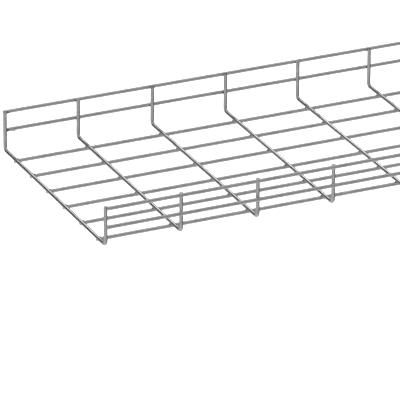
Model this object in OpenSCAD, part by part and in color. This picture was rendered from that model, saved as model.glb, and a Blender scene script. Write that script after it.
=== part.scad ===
// Wire mesh cable basket, lying on its floor wires along X.
// U-bent cross wires stand on the long floor wires and inside the side rails, welded at every crossing.

/* [Basket] */
// Length overall, over the cut ends of the floor wires and the outer faces of the end cross wires
basket_length = 3000; // [1000:100:3000]
// Clear width between the upright legs of the cross wires
inside_width = 300; // [200:50:500]
// Height of the mid rail above the cross wires' floor line, centre to centre
mid_rail_height = 24.5; // [20:0.5:30]
// Height of the top rail above the cross wires' floor line, centre to centre
top_rail_height = 48.5; // [45:0.5:80]
// How far each leg's cut end stands above the centre of the top rail
leg_overrun = 1.7; // [0:0.1:10]
// How far the cut ends of the side rails stop short of the basket's ends
rail_setback = 2.5; // [0:0.5:4]

/* [Mesh] */
// Distance from one cross wire to the next
cross_pitch = 100; // [50:50:200]
// Distance from one floor wire to the next
floor_pitch = 50; // [40:5:60]

/* [Wire] */
// Diameter of the round steel wire
wire_diameter = 5; // [4:0.5:6]
// Radius on the inside of the bend between floor and leg
bend_inner_radius = 2.5; // [1:0.5:8]
// How deep two crossing wires sink into each other at a weld
weld_sink = 0.4; // [0.2:0.1:1]

/* [Hidden] */
wire_radius = wire_diameter / 2;
round_steps = 48;

// Wires have few flat sides and the section area of a round wire
wire_sides = 8;
wire_half_flat = wire_radius * sqrt(PI / (wire_sides * tan(180 / wire_sides)));
wire_corner_radius = wire_half_flat / cos(180 / wire_sides);

// Distance between the centres of two welded wires that cross
weld_spacing = 2 * wire_half_flat - weld_sink;
bend_radius = bend_inner_radius + wire_half_flat;

cross_count = ceil(basket_length / cross_pitch) + 1;
floor_count = 2 * floor((inside_width / 2 - bend_radius) / floor_pitch + 0.5);
floor_wire_end_x = basket_length / 2;
end_wire_x = floor_wire_end_x - wire_half_flat;
rail_end_x = floor_wire_end_x - rail_setback;

floor_wire_z = wire_half_flat;
cross_wire_z = floor_wire_z + weld_spacing;
mid_rail_z = cross_wire_z + mid_rail_height;
top_rail_z = cross_wire_z + top_rail_height;
leg_top_z = top_rail_z + leg_overrun;

leg_y = inside_width / 2 + wire_half_flat;
bend_start_y = leg_y - bend_radius;
bend_end_z = cross_wire_z + bend_radius;
rail_y = leg_y + weld_spacing;

wire_grey = [0.74, 0.75, 0.76];

// Section of the wire, with flats on its four sides
module wire_section() {
    rotate(180 / wire_sides)
        circle(r = wire_corner_radius, $fn = wire_sides);
}

// Straight wire along X between two stations
module wire_along(x_from, x_to, y, z) {
    translate([x_from, y, z])
        rotate([90, 0, 90])
            linear_extrude(height = x_to - x_from)
                wire_section();
}

// One side rail over the whole length, on the +Y side
module side_rail(z) {
    wire_along(-rail_end_x, rail_end_x, rail_y, z);
}

// Straight floor part of one cross wire, between its two bends
module cross_wire_floor(x) {
    translate([x, bend_start_y, cross_wire_z])
        rotate([90, 0, 0])
            linear_extrude(height = 2 * bend_start_y)
                wire_section();
}

// Quarter bend of one cross wire on the +Y side
module cross_wire_bend(x) {
    translate([x, bend_start_y, bend_end_z])
        rotate([90, 0, 90])
            rotate(-90)
                rotate_extrude(angle = 90, $fn = round_steps)
                    translate([bend_radius, 0])
                        wire_section();
}

// Upright leg of one cross wire on the +Y side
module cross_wire_leg(x) {
    translate([x, leg_y, bend_end_z])
        linear_extrude(height = leg_top_z - bend_end_z)
            wire_section();
}

// The first and the last cross wire are flush with the basket's ends, the others keep the pitch from the middle
function cross_x(i) =
    i == 0 ? -end_wire_x :
    i == cross_count - 1 ? end_wire_x :
    (i - (cross_count - 1) / 2) * cross_pitch;
function floor_y(i) = (i - (floor_count - 1) / 2) * floor_pitch;

// Legs, bends and rails of the +Y side
module side_mesh() {
    side_rail(mid_rail_z);
    side_rail(top_rail_z);
    for (i = [0 : cross_count - 1]) {
        cross_wire_bend(cross_x(i));
        cross_wire_leg(cross_x(i));
    }
}

module floor_mesh() {
    color(wire_grey)
        union() {
            for (i = [0 : floor_count - 1])
                wire_along(-floor_wire_end_x, floor_wire_end_x, floor_y(i), floor_wire_z);
            for (i = [0 : cross_count - 1])
                cross_wire_floor(cross_x(i));
        }
}

module near_side_mesh() {
    color(wire_grey)
        mirror([0, 1, 0])
            side_mesh();
}

module far_side_mesh() {
    color(wire_grey)
        side_mesh();
}

floor_mesh();
near_side_mesh();
far_side_mesh();
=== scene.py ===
"""Wire mesh cable basket: round welded wires, weld flash and bright zinc. All lengths in metres."""

import logging
import math
import random
from dataclasses import dataclass, field
from enum import Enum

import bpy
from mathutils import Matrix, Vector

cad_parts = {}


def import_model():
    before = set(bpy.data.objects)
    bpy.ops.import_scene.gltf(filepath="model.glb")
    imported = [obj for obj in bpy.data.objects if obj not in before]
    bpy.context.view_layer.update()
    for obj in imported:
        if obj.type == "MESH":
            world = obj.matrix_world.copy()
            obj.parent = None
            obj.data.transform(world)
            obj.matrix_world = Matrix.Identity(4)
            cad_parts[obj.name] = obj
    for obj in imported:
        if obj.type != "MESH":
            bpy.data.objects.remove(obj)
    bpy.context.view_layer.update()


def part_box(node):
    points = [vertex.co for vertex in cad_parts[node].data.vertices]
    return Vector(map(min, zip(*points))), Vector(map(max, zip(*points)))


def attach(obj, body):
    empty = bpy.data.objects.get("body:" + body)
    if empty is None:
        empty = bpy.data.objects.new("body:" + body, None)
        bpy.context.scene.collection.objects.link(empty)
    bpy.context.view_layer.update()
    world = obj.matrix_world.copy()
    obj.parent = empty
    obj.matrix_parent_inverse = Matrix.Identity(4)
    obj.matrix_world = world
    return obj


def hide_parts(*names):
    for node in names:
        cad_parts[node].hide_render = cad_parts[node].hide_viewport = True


LOG = logging.getLogger("wire_basket")
SEED = 7
ALONG, ACROSS, UP = Vector((1, 0, 0)), Vector((0, 1, 0)), Vector((0, 0, 1))


class Side(Enum):
    """The two long sides of the basket, by the sign of their Y."""

    NEAR = -1
    FAR = 1

    @property
    def node(self) -> str:
        """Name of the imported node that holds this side's legs, bends and rails."""
        return f"{self.name.lower()}_side_mesh"


class MeshDraft:
    """Vertices and faces of one piece while it is being built."""

    def __init__(self) -> None:
        """Start with an empty mesh."""
        self.points: list[Vector] = []
        self.faces: list[tuple[int, ...]] = []
        self.smooth: list[bool] = []
        self.heats: list[float] = []
        self.places: list[Vector] = []

    def add_ring(self, ring: list[Vector], heat: float, places: list[Vector]) -> int:
        """Add one closed ring of points.

        Args:
            ring: The points, in order round the wire.
            heat: How much weld heat has dulled the metal here, 0 to 1; at full heat the metal is
                painted near-black, for heat oxide plus painted contact shade.
            places: Position of each point on the straightened wire.

        Returns:
            Index of the ring's first point.
        """
        first = len(self.points)
        self.points.extend(ring)
        self.heats.extend([heat] * len(ring))
        self.places.extend(places)
        return first

    def bridge(self, first: int, second: int, count: int) -> None:
        """Join two rings of the same count with a band of four-sided faces.

        Args:
            first: Index where the first ring starts.
            second: Index where the second ring starts.
            count: Number of points in each ring.
        """
        for i in range(count):
            j = (i + 1) % count
            self.faces.append((first + i, first + j, second + j, second + i))
            self.smooth.append(True)

    def close(self, ring: int, count: int, outward: bool, smooth: bool = False) -> None:
        """Close a ring with one face.

        Args:
            ring: Index where the ring starts.
            count: Number of points in the ring.
            outward: True where the face looks the way that the rings run.
            smooth: True where the face is part of a rounded form.
        """
        face = tuple(range(ring, ring + count))
        self.faces.append(face if outward else face[::-1])
        self.smooth.append(smooth)

    def to_object(self, name: str) -> bpy.types.Object:
        """Turn the draft into an object.

        Args:
            name: Name of the piece.

        Returns:
            The new object, linked to the scene.
        """
        mesh = bpy.data.meshes.new(name)
        mesh.from_pydata([p[:] for p in self.points], [], self.faces)
        heat = mesh.attributes.new("weld_heat_and_shade", "FLOAT", "POINT")
        heat.data.foreach_set("value", self.heats)
        place = mesh.attributes.new("wire_place", "FLOAT_VECTOR", "POINT")
        place.data.foreach_set("vector", [c for v in self.places for c in v])
        mesh.polygons.foreach_set("use_smooth", self.smooth)
        mesh.update()
        piece = bpy.data.objects.new(name, mesh)
        bpy.context.scene.collection.objects.link(piece)
        return piece


@dataclass(frozen=True)
class WireStock:
    """The drawn steel wire that every part of the basket is made of."""

    radius: float = 0.0025
    sides: int = 20
    end_chamfer: float = 0.00022
    shear_slant: float = 0.05
    bend_steps: int = 8
    pattern_spread: float = 40.0

    @property
    def end_clearance(self) -> float:
        """Length at a cut end that is kept free of other rings."""
        return self.radius / 4

    def ring(self, centre: Vector, side: Vector, up: Vector, radius: float) -> list[Vector]:
        """Points of one ring round the wire.

        Args:
            centre: Middle of the ring.
            side: Unit vector across the wire.
            up: Second unit vector across the wire.
            radius: Radius of the ring.

        Returns:
            The ring's points.
        """
        turn = 2 * math.pi / self.sides
        return [
            centre + radius * (math.cos(turn * i) * side + math.sin(turn * i) * up)
            for i in range(self.sides)
        ]

    def slanted(self, ring: list[Vector], way: Vector, slant: float) -> list[Vector]:
        """Tip a ring of points a little, as shears leave the end of a wire.

        Args:
            ring: The ring's points.
            way: Unit vector along the wire.
            slant: Rise across the wire's radius, as a share of it.

        Returns:
            The tipped points.
        """
        turn = 2 * math.pi / self.sides
        return [
            p + way * (slant * self.radius * math.cos(turn * i)) for i, p in enumerate(ring)
        ]

    def sweep(
        self,
        draft: MeshDraft,
        path: list[tuple[Vector, float]],
        side: Vector,
        seed: random.Random,
    ) -> None:
        """Sweep the wire along a path that stays square to one direction, with sheared ends.

        Args:
            draft: Mesh that the wire is added to.
            path: Points of the wire's centre line, each with the weld heat there.
            side: Unit vector square to the whole path.
            seed: Source of the small differences from wire to wire.
        """
        points = [p for p, _ in path]
        steps = [(b - a).normalized() for a, b in zip(points, points[1:])]
        bisectors = [(a + b).normalized() for a, b in zip(steps, steps[1:])]
        ways = [steps[0], *bisectors, steps[-1]]
        chamfer, inner = self.end_chamfer, self.radius - self.end_chamfer
        rows = [(p, way, heat, self.radius) for (p, heat), way in zip(path, ways)]
        start, finish = rows[0], rows[-1]
        rows[0] = (start[0] + start[1] * chamfer, start[1], start[2], self.radius)
        rows[-1] = (finish[0] - finish[1] * chamfer, finish[1], finish[2], self.radius)
        rows.insert(0, (start[0], start[1], start[2], inner))
        rows.append((finish[0], finish[1], finish[2], inner))
        end = len(rows) - 1
        slants = {number: seed.uniform(-1, 1) * self.shear_slant for number in (0, end)}
        slants[1], slants[end - 1] = slants[0], slants[end]
        shift, turn = seed.uniform(0, self.pattern_spread), 2 * math.pi / self.sides
        around = [
            (self.radius * math.cos(turn * i), self.radius * math.sin(turn * i))
            for i in range(self.sides)
        ]
        previous, travelled, last = -1, 0.0, start[0]
        for number, (centre, way, heat, radius) in enumerate(rows):
            travelled += (centre - last).length
            last = centre
            ring = self.ring(centre, side, way.cross(side).normalized(), radius)
            ring = self.slanted(ring, way, slants.get(number, 0.0))
            places = [Vector((travelled + shift, a, b)) for a, b in around]
            index = draft.add_ring(ring, heat, places)
            if previous < 0:
                draft.close(index, self.sides, outward=False)
            else:
                draft.bridge(previous, index, self.sides)
            previous = index
        draft.close(previous, self.sides, outward=True)


class NodeChain:
    """Short ways to add and join shader nodes in one tree."""

    def __init__(self, tree: bpy.types.NodeTree) -> None:
        """Work on the given node tree."""
        self.tree = tree

    def add(self, kind: str, **values: object) -> bpy.types.Node:
        """Add a node.

        Args:
            kind: The node's type name without its ShaderNode prefix.
            **values: Settings of the node itself.

        Returns:
            The new node.
        """
        node = self.tree.nodes.new(f"ShaderNode{kind}")
        for name, value in values.items():
            setattr(node, name, value)
        return node

    def feed(
        self, target: bpy.types.NodeSocket, source: bpy.types.NodeSocket | float | tuple[float, ...]
    ) -> None:
        """Set a socket to a value, or join it to another socket.

        Args:
            target: The socket that is fed.
            source: An output socket, a number or a colour.
        """
        if isinstance(source, bpy.types.NodeSocket):
            self.tree.links.new(source, target)
        else:
            target.default_value = source

    def ramp(
        self,
        source: bpy.types.NodeSocket | float,
        low: float,
        high: float,
        start: float = 0.0,
        end: float = 1.0,
    ) -> bpy.types.NodeSocket:
        """Turn one range of a value smoothly into another.

        Args:
            source: The value.
            low: Where the smooth change begins.
            high: Where it ends.
            start: Result below low.
            end: Result above high.

        Returns:
            The result.
        """
        node = self.add("MapRange", interpolation_type="SMOOTHSTEP")
        limits = {"From Min": low, "From Max": high, "To Min": start, "To Max": end}
        for name, value in {"Value": source, **limits}.items():
            self.feed(node.inputs[name], value)
        return node.outputs["Result"]

    def math(
        self,
        operation: str,
        first: bpy.types.NodeSocket | float,
        second: bpy.types.NodeSocket | float,
    ) -> bpy.types.NodeSocket:
        """Calculate with two values.

        Args:
            operation: Name of the operation.
            first: First value.
            second: Second value.

        Returns:
            The result.
        """
        node = self.add("Math", operation=operation)
        self.feed(node.inputs[0], first)
        self.feed(node.inputs[1], second)
        return node.outputs["Value"]

    def blend(
        self,
        share: bpy.types.NodeSocket | float,
        first: bpy.types.NodeSocket | float,
        second: bpy.types.NodeSocket | float,
    ) -> bpy.types.NodeSocket:
        """Blend two values.

        Args:
            share: How much of the second value, 0 to 1.
            first: First value.
            second: Second value.

        Returns:
            The result.
        """
        node = self.add("Mix", data_type="FLOAT")
        self.feed(node.inputs[0], share)
        self.feed(node.inputs[2], first)
        self.feed(node.inputs[3], second)
        return node.outputs[0]

    def tint(
        self,
        share: bpy.types.NodeSocket | float,
        first: bpy.types.NodeSocket | tuple[float, ...],
        second: bpy.types.NodeSocket | tuple[float, ...],
    ) -> bpy.types.NodeSocket:
        """Blend two colours.

        Args:
            share: How much of the second colour, 0 to 1.
            first: First colour.
            second: Second colour.

        Returns:
            The result.
        """
        node = self.add("Mix", data_type="RGBA")
        self.feed(node.inputs[0], share)
        self.feed(node.inputs[6], first)
        self.feed(node.inputs[7], second)
        return node.outputs[2]


@dataclass(frozen=True)
class ZincFinish:
    """Bright electroplated zinc on drawn wire, cloudy in places; the weld collars are near-black,
    heat oxide plus painted contact shade.
    """

    colour: tuple[float, float, float, float] = (0.86, 0.865, 0.87, 1.0)
    clouded: tuple[float, float, float, float] = (0.70, 0.705, 0.71, 1.0)
    # near-black for the weld collars: heat oxide plus painted contact shade in the crotch of each
    # crossing
    oxide_and_shade: tuple[float, float, float, float] = (0.045, 0.043, 0.042, 1.0)
    roughness: float = 0.15
    roughness_spread: float = 0.06
    oxide_and_shade_roughness: float = 0.6
    oxide_and_shade_metal: float = 0.1
    line_depth: float = 0.00003
    line_strength: float = 0.3
    line_stretch: tuple[float, float, float] = (8.0, 1500.0, 1500.0)
    line_range: tuple[float, float] = (0.3, 0.7)
    cloud_scale: float = 140.0
    cloud_range: tuple[float, float] = (0.42, 0.72)
    cloud_share: float = 0.8
    cloud_dulling: float = 0.06
    oxide_and_shade_noise_scale: float = 900.0
    oxide_and_shade_noise_share: float = 0.3
    oxide_and_shade_range: tuple[float, float] = (0.75, 1.05)

    def material(self, name: str) -> bpy.types.Material:
        """Build the zinc material.

        Args:
            name: Name of the material.

        Returns:
            The finished material.
        """
        made = bpy.data.materials.new(name)
        made.use_nodes = True
        chain = NodeChain(made.node_tree)
        shader = made.node_tree.nodes["Principled BSDF"]
        shader.inputs["Metallic"].default_value = 1.0
        shader.inputs["Base Color"].default_value = self.colour
        shader.inputs["Roughness"].default_value = self.roughness
        place = chain.add("Attribute", attribute_name="wire_place").outputs["Vector"]
        heat = chain.add("Attribute", attribute_name="weld_heat_and_shade").outputs["Fac"]
        stretch = chain.add("Mapping")
        stretch.inputs["Scale"].default_value = self.line_stretch
        chain.feed(stretch.inputs["Vector"], place)
        lines = self.noise(chain, stretch.outputs["Vector"], scale=1.0, detail=3.0)
        clouds = self.noise(chain, place, scale=self.cloud_scale, detail=4.0)
        clouding = chain.ramp(clouds, *self.cloud_range, 0.0, self.cloud_share)
        # weld heat plus noise paints the weld collars near-black: heat oxide plus painted contact
        # shade
        oxide_and_shade_noise = self.noise(chain, place, scale=self.oxide_and_shade_noise_scale, detail=3.0)
        uneven = chain.math("ADD", heat, chain.math("MULTIPLY", oxide_and_shade_noise, self.oxide_and_shade_noise_share))
        oxide_and_shade_share = chain.ramp(uneven, *self.oxide_and_shade_range)
        zinc = chain.tint(clouding, self.colour, self.clouded)
        chain.feed(shader.inputs["Base Color"], chain.tint(oxide_and_shade_share, zinc, self.oxide_and_shade))
        half = self.roughness_spread / 2
        drawn = chain.ramp(lines, *self.line_range, self.roughness - half, self.roughness + half)
        dulled = chain.math("ADD", drawn, chain.math("MULTIPLY", clouding, self.cloud_dulling))
        chain.feed(shader.inputs["Roughness"], chain.blend(oxide_and_shade_share, dulled, self.oxide_and_shade_roughness))
        chain.feed(shader.inputs["Metallic"], chain.blend(oxide_and_shade_share, 1.0, self.oxide_and_shade_metal))
        bump = chain.add("Bump")
        bump.inputs["Strength"].default_value = self.line_strength
        bump.inputs["Distance"].default_value = self.line_depth
        chain.feed(bump.inputs["Height"], lines)
        chain.feed(shader.inputs["Normal"], bump.outputs["Normal"])
        return made

    def noise(
        self, chain: NodeChain, place: bpy.types.NodeSocket, scale: float, detail: float
    ) -> bpy.types.NodeSocket:
        """Add a soft random pattern.

        Args:
            chain: The material's nodes.
            place: Where on the wire each point lies.
            scale: How fine the pattern is.
            detail: How many finer patterns lie on top of it.

        Returns:
            The pattern's value, about 0.3 to 0.7.
        """
        pattern = chain.add("TexNoise")
        pattern.inputs["Scale"].default_value = scale
        pattern.inputs["Detail"].default_value = detail
        chain.feed(pattern.inputs["Vector"], place)
        return pattern.outputs["Fac"]


@dataclass
class BasketPlan:
    """Where the wires lie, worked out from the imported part's own boxes."""

    pitch: float = 0.100
    floor_pitch: float = 0.050
    floor_count: int = 6
    wire_radius: float = 0.0025
    half_flat: float = 0.002434
    weld_sink: float = 0.0004
    mid_rail_height: float = 0.0245
    leg_overrun: float = 0.0017
    rail_setback: float = 0.0025
    floor_wire_setback: float = 0.0028
    bend_inner_radius: float = 0.0025
    end_x: float = field(init=False)
    end_wire_x: float = field(init=False)
    leg_y: float = field(init=False)
    rail_y: float = field(init=False)
    floor_z: float = field(init=False)
    cross_z: float = field(init=False)
    mid_rail_z: float = field(init=False)
    top_rail_z: float = field(init=False)
    leg_top_z: float = field(init=False)

    def __post_init__(self) -> None:
        """Read the part's outer sizes."""
        low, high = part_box("near_side_mesh")
        spacing = 2 * self.half_flat - self.weld_sink
        self.end_x = (high.x - low.x) / 2
        self.end_wire_x = self.end_x - self.half_flat
        self.rail_y = -low.y - self.half_flat
        self.leg_y = self.rail_y - spacing
        self.floor_z = self.wire_radius
        self.cross_z = self.half_flat + spacing
        self.mid_rail_z = self.cross_z + self.mid_rail_height
        self.top_rail_z = high.z - self.half_flat
        self.leg_top_z = self.top_rail_z + self.leg_overrun

    def cross_stations(self) -> list[float]:
        """X of each cross wire: the end ones lie flush with the basket's ends."""
        count = round(2 * self.end_x / self.pitch) + 1
        inner = [-self.end_x + i * self.pitch for i in range(1, count - 1)]
        return [-self.end_wire_x, *inner, self.end_wire_x]

    def floor_stations(self) -> list[float]:
        """Y of each floor wire."""
        middle = (self.floor_count - 1) / 2
        return [(i - middle) * self.floor_pitch for i in range(self.floor_count)]

    def rail_heights(self) -> tuple[float, float]:
        """Z of the mid and the top rail."""
        return self.mid_rail_z, self.top_rail_z


@dataclass(frozen=True)
class WeldHeat:
    """How far the heat of a weld dulls the wires on either side of it."""

    reach: float = 0.0055
    core: float = 0.0028
    peak: float = 0.45
    shoulder: float = 0.6

    def around(self, middle: float) -> list[tuple[float, float]]:
        """Stations and heats on both sides of a weld.

        Args:
            middle: Where the weld is along the wire.

        Returns:
            Pairs of station and heat, in rising order.
        """
        return [
            (middle - self.reach, 0.0),
            (middle - self.core, self.peak * self.shoulder),
            (middle, self.peak),
            (middle + self.core, self.peak * self.shoulder),
            (middle + self.reach, 0.0),
        ]


@dataclass
class CrossWires:
    """The U-bent wires that carry everything else."""

    plan: BasketPlan
    stock: WireStock
    heat: WeldHeat
    tip_spread: float = 0.00025
    lean_spread: float = 0.00015

    def leg(self, x: float, side: Side, seed: random.Random) -> list[tuple[Vector, float]]:
        """Centre line of one leg and its bend, from the cut tip down to the floor.

        Args:
            x: Station of the wire along the basket.
            side: Which side the leg stands on.
            seed: Source of the small differences from leg to leg.

        Returns:
            Points with their weld heats.
        """
        plan = self.plan
        radius = plan.bend_inner_radius + plan.wire_radius
        tip_z = plan.leg_top_z + seed.uniform(-1, 1) * self.tip_spread
        lean_x = seed.uniform(-1, 1) * self.lean_spread
        lean = Vector((lean_x, seed.uniform(-1, 1) * self.lean_spread, 0))
        stations = [(z, heat) for rail in plan.rail_heights() for z, heat in self.heat.around(rail)]
        limit = tip_z - self.stock.end_clearance
        heights = [(z, heat) for z, heat in reversed(stations) if z < limit]
        height = plan.leg_top_z - plan.cross_z
        line = []
        for z, heat in [(tip_z, 0.0), *heights]:
            share = (z - plan.cross_z) / height
            line.append((Vector((x, side.value * plan.leg_y, z)) + lean * share, heat))
        for i in range(self.stock.bend_steps + 1):
            angle = math.pi / 2 * i / self.stock.bend_steps
            y = plan.leg_y - radius + radius * math.cos(angle)
            z = plan.cross_z + radius - radius * math.sin(angle)
            line.append((Vector((x, side.value * y, z)), 0.0))
        return line

    def path(self, x: float, seed: random.Random) -> list[tuple[Vector, float]]:
        """Centre line of one U-bent wire, from the near leg's tip to the far leg's tip.

        Args:
            x: Station of the wire along the basket.
            seed: Source of the small differences from wire to wire.

        Returns:
            Points with their weld heats.
        """
        near, far = self.leg(x, Side.NEAR, seed), self.leg(x, Side.FAR, seed)
        floor = [
            (Vector((x, y, self.plan.cross_z)), heat)
            for station in self.plan.floor_stations()
            for y, heat in self.heat.around(station)
        ]
        return [*near, *floor, *reversed(far)]

    def build(self, seed: random.Random) -> bpy.types.Object:
        """Build every cross wire as one joined mesh.

        Args:
            seed: Source of the small differences from wire to wire.

        Returns:
            The piece.
        """
        draft = MeshDraft()
        for x in self.plan.cross_stations():
            self.stock.sweep(draft, self.path(x, seed), ALONG, seed)
        return draft.to_object("cross_wires")


@dataclass
class LongWires:
    """Straight wires along the basket: the floor wires, or the two rails of one side."""

    plan: BasketPlan
    stock: WireStock
    heat: WeldHeat
    name: str
    end_x: float
    lines: list[tuple[float, float]]
    bow: float = 0.00012

    def path(self, y: float, z: float, seed: random.Random) -> list[tuple[Vector, float]]:
        """Centre line of one wire, a little bowed between its welds.

        Args:
            y: Place of the wire across the basket.
            z: Height of the wire.
            seed: Source of the bows.

        Returns:
            Points with their weld heats.
        """
        limit = self.end_x - self.stock.end_clearance
        line = [(Vector((-self.end_x, y, z)), 0.0)]
        for x in self.plan.cross_stations():
            near_weld = [(s, heat) for s, heat in self.heat.around(x) if abs(s) < limit]
            line += [(Vector((s, y, z)), heat) for s, heat in near_weld]
            if x + self.plan.pitch / 2 < self.end_x:
                bow_y = seed.uniform(-1, 1) * self.bow
                bow = Vector((self.plan.pitch / 2, bow_y, seed.uniform(0, 1) * self.bow))
                line.append((Vector((x, y, z)) + bow, 0.0))
        return [*line, (Vector((self.end_x, y, z)), 0.0)]

    def build(self, seed: random.Random) -> bpy.types.Object:
        """Build the wires as one joined mesh.

        Args:
            seed: Source of the small differences from wire to wire.

        Returns:
            The piece.
        """
        draft = MeshDraft()
        for y, z in self.lines:
            self.stock.sweep(draft, self.path(y, z, seed), ACROSS, seed)
        return draft.to_object(self.name)


@dataclass
class WeldFlash:
    """Flash squeezed out between two welded wires, one flat collar at each crossing, near-black for
    heat oxide plus painted contact shade.
    """

    name: str
    crossings: list[Vector]
    through: Vector
    along: float = 0.0037
    across: float = 0.0017
    proud: float = 0.0013
    end_shift: float = 0.0032
    # full heat paints the collar near-black: heat oxide plus painted contact shade
    heat: float = 1.0
    ragged: float = 0.14
    sides: int = 12
    layers: int = 5

    def collar(self, draft: MeshDraft, centre: Vector, seed: random.Random) -> None:
        """Add one collar.

        Args:
            draft: Mesh that the collar is added to.
            centre: Middle of the weld.
            seed: Source of its ragged edge.
        """
        sideways = self.through.cross(ALONG)
        turn = 2 * math.pi / self.sides
        swell = [1 + seed.uniform(-1, 1) * self.ragged for _ in range(self.sides)]
        size = 1 + seed.uniform(-1, 1) * self.ragged
        rings = []
        for layer in range(self.layers):
            lift = -1 + 2 * (layer + 0.5) / self.layers
            girth = math.sqrt(1 - lift * lift)
            ring = [
                centre
                + self.through * (self.proud * lift)
                + ALONG * (self.along * size * swell[i] * girth * math.cos(turn * i))
                + sideways * (self.across * size * swell[i] * girth * math.sin(turn * i))
                for i in range(self.sides)
            ]
            rings.append(draft.add_ring(ring, self.heat, ring))
        draft.close(rings[0], self.sides, outward=False, smooth=True)
        for first, second in zip(rings, rings[1:]):
            draft.bridge(first, second, self.sides)
        draft.close(rings[-1], self.sides, outward=True, smooth=True)

    def build(self, seed: random.Random) -> bpy.types.Object:
        """Build the collars as one mesh.

        Args:
            seed: Source of their ragged edges.

        Returns:
            The piece.
        """
        draft = MeshDraft()
        ends = min(c.x for c in self.crossings), max(c.x for c in self.crossings)
        for centre in self.crossings:
            inward = {ends[0]: self.end_shift, ends[1]: -self.end_shift}.get(centre.x, 0.0)
            self.collar(draft, centre + ALONG * inward, seed)
        return draft.to_object(self.name)


@dataclass(frozen=True)
class CameraView:
    """The camera, looking down into the basket's open end through a long lens."""

    azimuth: float = -24.927
    elevation: float = 24.233
    roll: float = 0.356
    distance: float = 5.9404
    lens: float = 446.01
    target: tuple[float, float, float] = (-1.34231, -0.08070, 0.0069)
    sensor_width: float = 36.0
    clip_end: float = 100.0

    def build(self) -> bpy.types.Object:
        """Place the camera and make it the scene's own.

        Returns:
            The camera object.
        """
        a, e = math.radians(self.azimuth), math.radians(self.elevation)
        back = Vector((math.sin(a) * math.cos(e), -math.cos(a) * math.cos(e), math.sin(e)))
        data = bpy.data.cameras.new("camera")
        data.sensor_width = self.sensor_width
        data.lens = self.lens
        data.clip_end = self.clip_end
        camera = bpy.data.objects.new("camera", data)
        bpy.context.scene.collection.objects.link(camera)
        facing = back.to_track_quat("Z", "Y").to_matrix().to_4x4()
        tilt = Matrix.Rotation(math.radians(self.roll), 4, "Z")
        place = Matrix.Translation(Vector(self.target) + back * self.distance)
        camera.matrix_world = place @ facing @ tilt
        bpy.context.scene.camera = camera
        return camera


@dataclass(frozen=True)
class Surroundings:
    """The soft room that the zinc mirrors: pale ground, dark wall and one soft window.

    Brightnesses are plain numbers. Each pair is where a soft edge starts and ends, as a share
    of the direction's unit length.
    """

    front: float = 0.26
    overhead: float = 0.52
    wall: float = 0.012
    window: float = 1.25
    ground_far: float = 0.30
    ground_below: float = 0.55
    ground_left: float = 1.25
    ground_right: float = 0.33
    seen: float = 1.0
    horizon_edge: tuple[float, float] = (-0.08, 0.08)
    sky_edge: tuple[float, float] = (-0.7, 0.2)
    wall_edge: tuple[float, float] = (0.2, 0.7)
    wall_top: tuple[float, float] = (0.45, 0.54)
    wall_top_slope: float = 0.2
    window_sill: tuple[float, float] = (0.46, 0.54)
    window_depth: tuple[float, float] = (0.70, 0.80)
    window_side: tuple[float, float] = (0.30, 0.42)
    ground_edge: tuple[float, float] = (-1.0, -0.25)
    steep_edge: tuple[float, float] = (-0.75, -0.5)
    left_edge: tuple[float, float] = (-0.4, 0.4)
    right_edge: tuple[float, float] = (0.4, 0.8)

    def build(self) -> None:
        """Make the room's world and give it to the scene."""
        world = bpy.data.worlds.new("studio_room")
        bpy.context.scene.world = world
        world.use_nodes = True
        chain = NodeChain(world.node_tree)
        split = chain.add("SeparateXYZ")
        chain.feed(split.inputs["Vector"], chain.add("TexCoord").outputs["Generated"])
        x, y, z = (split.outputs[name] for name in "XYZ")
        upper = self.upper(chain, x, y, z)
        above = chain.ramp(z, *self.horizon_edge)
        whole = chain.blend(above, self.lower(chain, x, z), upper)
        path = chain.add("LightPath")
        shown = chain.blend(path.outputs["Is Camera Ray"], whole, self.seen)
        chain.feed(world.node_tree.nodes["Background"].inputs["Color"], shown)

    def upper(
        self,
        chain: NodeChain,
        x: bpy.types.NodeSocket,
        y: bpy.types.NodeSocket,
        z: bpy.types.NodeSocket,
    ) -> bpy.types.NodeSocket:
        """Brightness above the horizon.

        Args:
            chain: The world's nodes.
            x: Direction's share along the basket.
            y: Direction's share towards the back.
            z: Direction's share upwards.

        Returns:
            The brightness.
        """
        open_sky = chain.ramp(y, *self.sky_edge, self.front, self.overhead)
        rise = chain.math("ADD", z, chain.math("MULTIPLY", x, self.wall_top_slope))
        behind = chain.ramp(y, *self.wall_edge)
        wall = chain.math("MULTIPLY", behind, chain.ramp(rise, *self.wall_top, 1.0, 0.0))
        deep = chain.ramp(y, *self.window_depth)
        opening = chain.math("MULTIPLY", deep, chain.ramp(x, *self.window_side, 1.0, 0.0))
        window = chain.math("MULTIPLY", opening, chain.ramp(rise, *self.window_sill))
        return chain.blend(window, chain.blend(wall, open_sky, self.wall), self.window)

    def lower(
        self, chain: NodeChain, x: bpy.types.NodeSocket, z: bpy.types.NodeSocket
    ) -> bpy.types.NodeSocket:
        """Brightness below the horizon: pale ground, lighter straight below and to the left.

        Args:
            chain: The world's nodes.
            x: Direction's share along the basket.
            z: Direction's share upwards.

        Returns:
            The brightness.
        """
        ground = chain.ramp(z, *self.ground_edge, self.ground_below, self.ground_far)
        left = chain.ramp(x, *self.left_edge, self.ground_left, 1.0)
        right = chain.ramp(x, *self.right_edge, 1.0, self.ground_right)
        sideways = chain.math("MULTIPLY", left, right)
        slanting = chain.ramp(z, *self.steep_edge)
        return chain.math("MULTIPLY", ground, chain.blend(slanting, 1.0, sideways))


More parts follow.
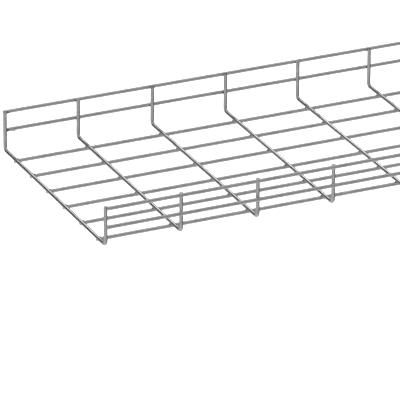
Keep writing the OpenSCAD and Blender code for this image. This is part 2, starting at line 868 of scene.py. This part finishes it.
@dataclass(frozen=True)
class Studio:
    """Plain pale floor under a wide soft overhead light."""

    floor_half: float = 12.0
    floor_colour: tuple[float, float, float, float] = (0.9, 0.9, 0.9, 1.0)
    light_width: float = 6.0
    light_place: tuple[float, float, float] = (-0.5, 0.5, 6.0)
    light_power: float = 900.0

    def floor(self) -> bpy.types.Object:
        """Lay the floor under the basket.

        Returns:
            The floor object.
        """
        mesh = bpy.data.meshes.new("studio_floor")
        h = self.floor_half
        mesh.from_pydata([(-h, -h, 0), (h, -h, 0), (h, h, 0), (-h, h, 0)], [], [(0, 1, 2, 3)])
        floor = bpy.data.objects.new("studio_floor", mesh)
        bpy.context.scene.collection.objects.link(floor)
        made = bpy.data.materials.new("studio_floor")
        made.use_nodes = True
        shader = made.node_tree.nodes["Principled BSDF"]
        shader.inputs["Base Color"].default_value = self.floor_colour
        shader.inputs["Roughness"].default_value = 1.0
        shader.inputs["Specular IOR Level"].default_value = 0.0
        mesh.materials.append(made)
        floor.visible_glossy = False
        floor.visible_shadow = False
        return floor

    def lamp(self) -> bpy.types.Object:
        """Hang the wide lamp that lights the floor.

        Returns:
            The lamp object.
        """
        data = bpy.data.lights.new("overhead_light", "AREA")
        data.shape = "DISK"
        data.size = self.light_width
        data.energy = self.light_power
        data.use_shadow = False
        lamp = bpy.data.objects.new("overhead_light", data)
        bpy.context.scene.collection.objects.link(lamp)
        lamp.location = self.light_place
        lamp.visible_glossy = False
        return lamp

    def build(self) -> None:
        """Build floor, lamp and surroundings, shown with plain tones."""
        self.floor()
        self.lamp()
        Surroundings().build()
        bpy.context.scene.view_settings.view_transform = "Standard"


@dataclass(frozen=True)
class Bead:
    """One bead of weld metal on a far rail, near the basket's start.

    It lies a distance from the end cross wire, inward of the rail and above the rail's middle.
    """

    name: str
    from_end_wire: float
    inward: float
    rise: float
    along: float
    across: float
    proud: float
    heat: float = 0.3


MID_BEAD = Bead("far_mid_bead", 0.0125, 0.0, -0.0018, 0.0048, 0.0018, 0.0017)
TOP_BEAD = Bead("far_top_bead", 0.0050, 0.0006, 0.0004, 0.0056, 0.0024, 0.0024)


@dataclass
class Basket:
    """The whole basket: its wires and the welds that join them."""

    plan: BasketPlan
    stock: WireStock
    heat: WeldHeat
    finish: bpy.types.Material

    def dress(self, piece: bpy.types.Object, *nodes: str) -> None:
        """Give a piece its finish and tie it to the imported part.

        Args:
            piece: The finished mesh.
            *nodes: CAD nodes that it stands for.
        """
        piece.data.materials.append(self.finish)
        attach(piece, "root")
        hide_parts(*nodes)
        LOG.info("%s: %d faces", piece.name, len(piece.data.polygons))

    def build_floor(self, seed: random.Random) -> None:
        """Build the cross wires, the floor wires and the welds between them.

        Args:
            seed: Source of the small differences from piece to piece.
        """
        plan = self.plan
        cross_wires = CrossWires(plan, self.stock, self.heat).build(seed)
        self.dress(cross_wires, "floor_mesh", *(side.node for side in Side))
        lines = [(y, plan.floor_z) for y in plan.floor_stations()]
        end_x = plan.end_x - plan.floor_wire_setback
        wires = LongWires(plan, self.stock, self.heat, "floor_wires", end_x, lines)
        self.dress(wires.build(seed), "floor_mesh")
        middle = (plan.floor_z + plan.cross_z) / 2
        crossings = [
            Vector((x, y, middle)) for y in plan.floor_stations() for x in plan.cross_stations()
        ]
        self.dress(WeldFlash("floor_welds", crossings, UP).build(seed), "floor_mesh")

    def build_side(self, side: Side, seed: random.Random) -> None:
        """Build the two rails of one side and their welds.

        Args:
            side: Which side.
            seed: Source of the small differences from piece to piece.
        """
        plan, label = self.plan, side.name.lower()
        y = side.value * plan.rail_y
        end_x = plan.end_x - plan.rail_setback
        lines = [(y, z) for z in plan.rail_heights()]
        rails = LongWires(plan, self.stock, self.heat, f"{label}_rails", end_x, lines)
        self.dress(rails.build(seed), side.node)
        middle = side.value * (plan.rail_y + plan.leg_y) / 2
        crossings = [
            Vector((x, middle, z)) for z in plan.rail_heights() for x in plan.cross_stations()
        ]
        self.dress(WeldFlash(f"{label}_welds", crossings, ACROSS).build(seed), side.node)

    def build_spatter(self, seed: random.Random) -> None:
        """Build the two beads of weld metal left on the far rails at the basket's start.

        Args:
            seed: Source of their ragged edges.
        """
        plan = self.plan
        for bead, rail_z in zip((MID_BEAD, TOP_BEAD), plan.rail_heights()):
            x = bead.from_end_wire - plan.end_wire_x
            centre = Vector((x, plan.rail_y - bead.inward, rail_z + bead.rise))
            flash = WeldFlash(bead.name, [centre], UP, bead.along, bead.across, bead.proud)
            flash.end_shift, flash.heat = 0.0, bead.heat
            self.dress(flash.build(seed), Side.FAR.node)


def main() -> None:
    """Build the camera, the studio and the basket's pieces in order."""
    logging.basicConfig(level=logging.INFO, format="%(name)s: %(message)s")
    seed = random.Random(SEED)
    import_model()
    CameraView().build()
    Studio().build()
    basket = Basket(BasketPlan(), WireStock(), WeldHeat(), ZincFinish().material("zinc_wire"))
    basket.build_floor(seed)
    for side in Side:
        basket.build_side(side, seed)
    basket.build_spatter(seed)


if __name__ == "__main__":
    main()
